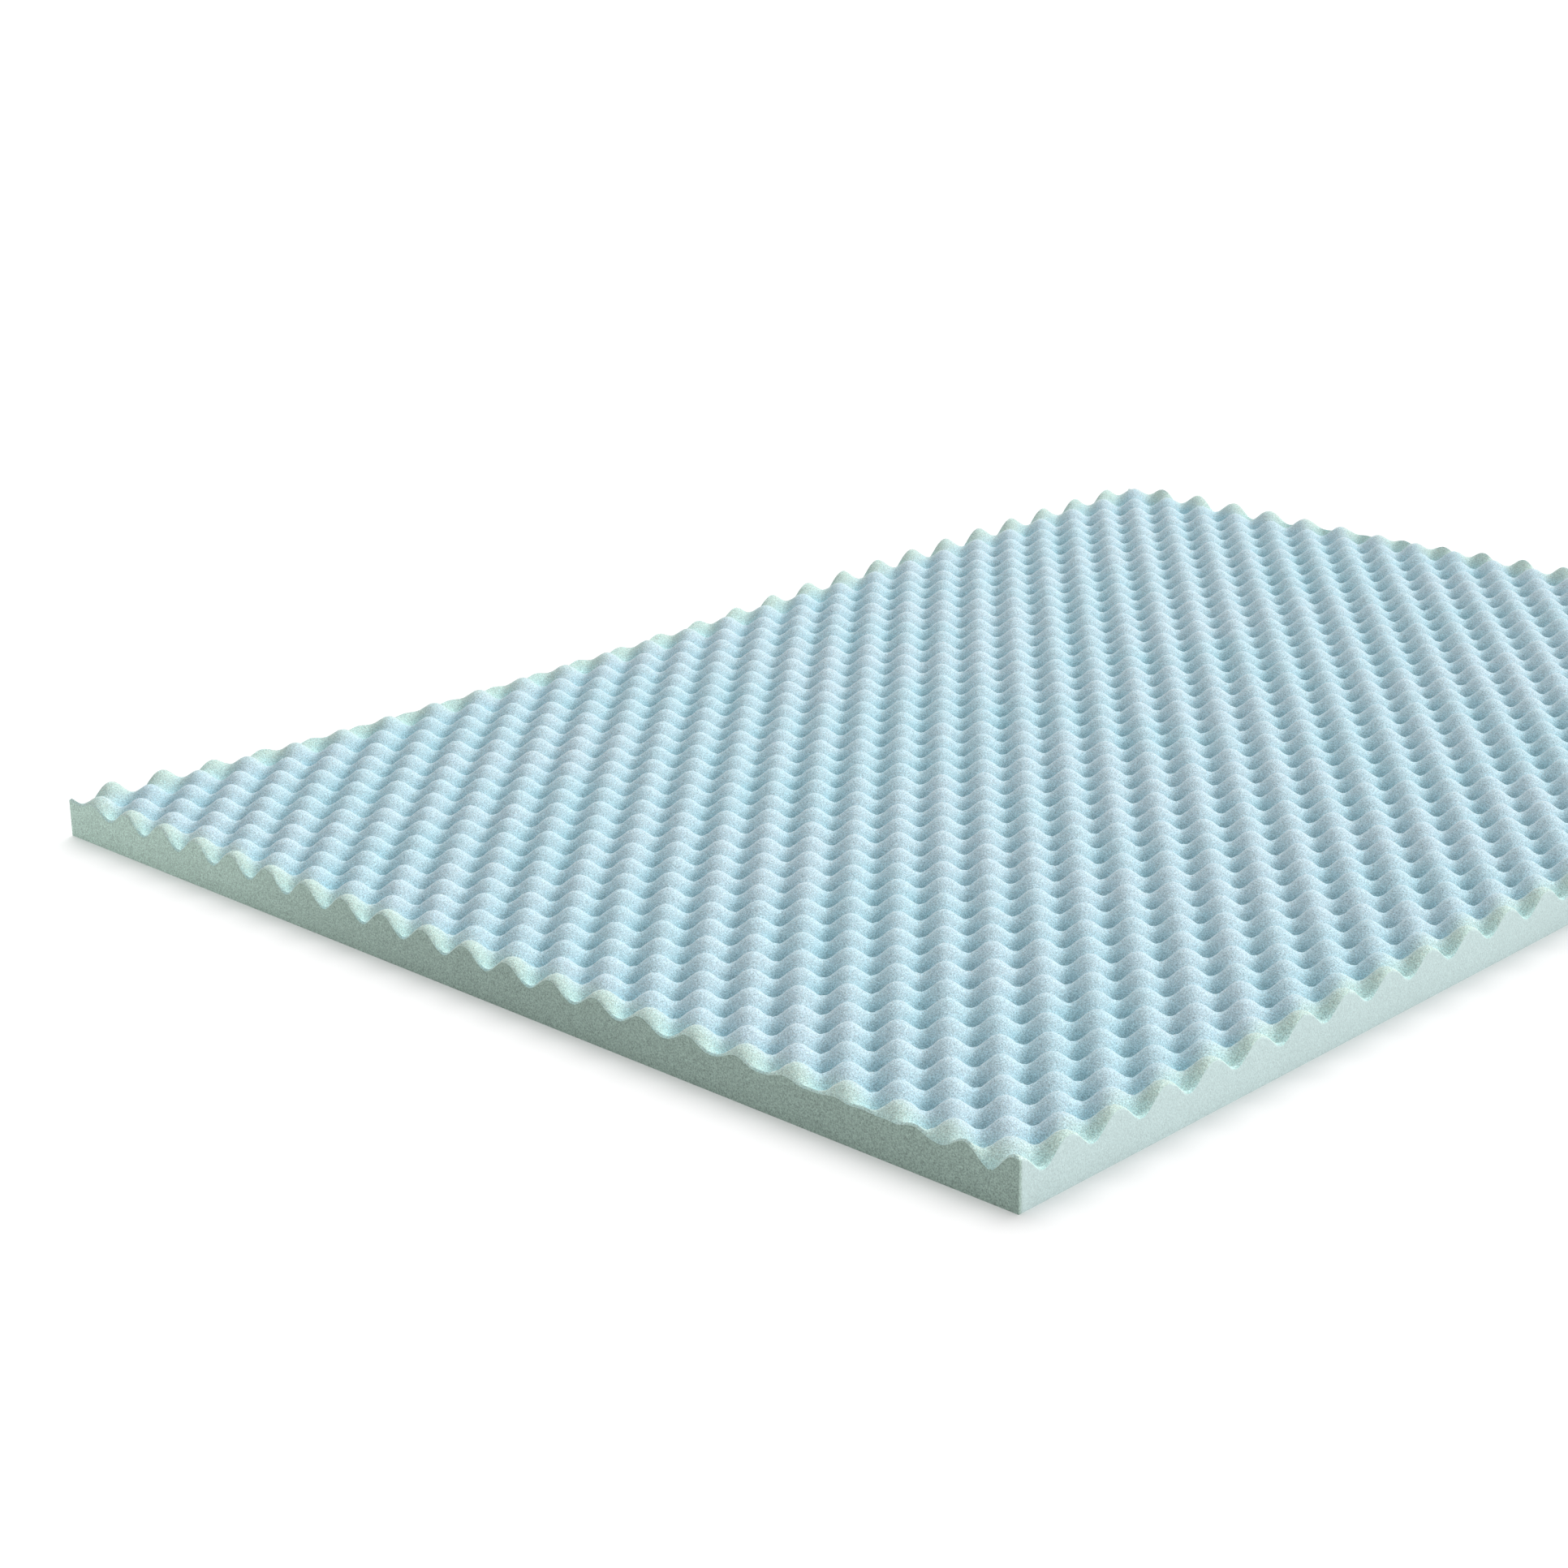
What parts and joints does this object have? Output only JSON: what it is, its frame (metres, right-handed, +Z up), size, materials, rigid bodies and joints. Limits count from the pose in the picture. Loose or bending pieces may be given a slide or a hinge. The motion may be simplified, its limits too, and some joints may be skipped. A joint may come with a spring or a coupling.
{
  "type": "convoluted foam mattress topper",
  "caption": "Full-size foam mattress topper: a flat-backed slab with square-cut sides and a convoluted top of rounded bumps and hollows.",
  "frame": {"origin": "middle of the slab's box on the flat underside, where the topper lies on the mattress", "axes": "+Z up through the bumps, +Y along the bed, +X across it to the right"},
  "size_m": [1.3716, 1.905, 0.051],
  "materials": {
    "foam": "matt open-cell foam, pale blue on top, turning pale green at the rim and grey-green on the cut sides"
  },
  "bodies": {
    "root": {"foam_slab": "foam"}
  },
  "joints": []
}
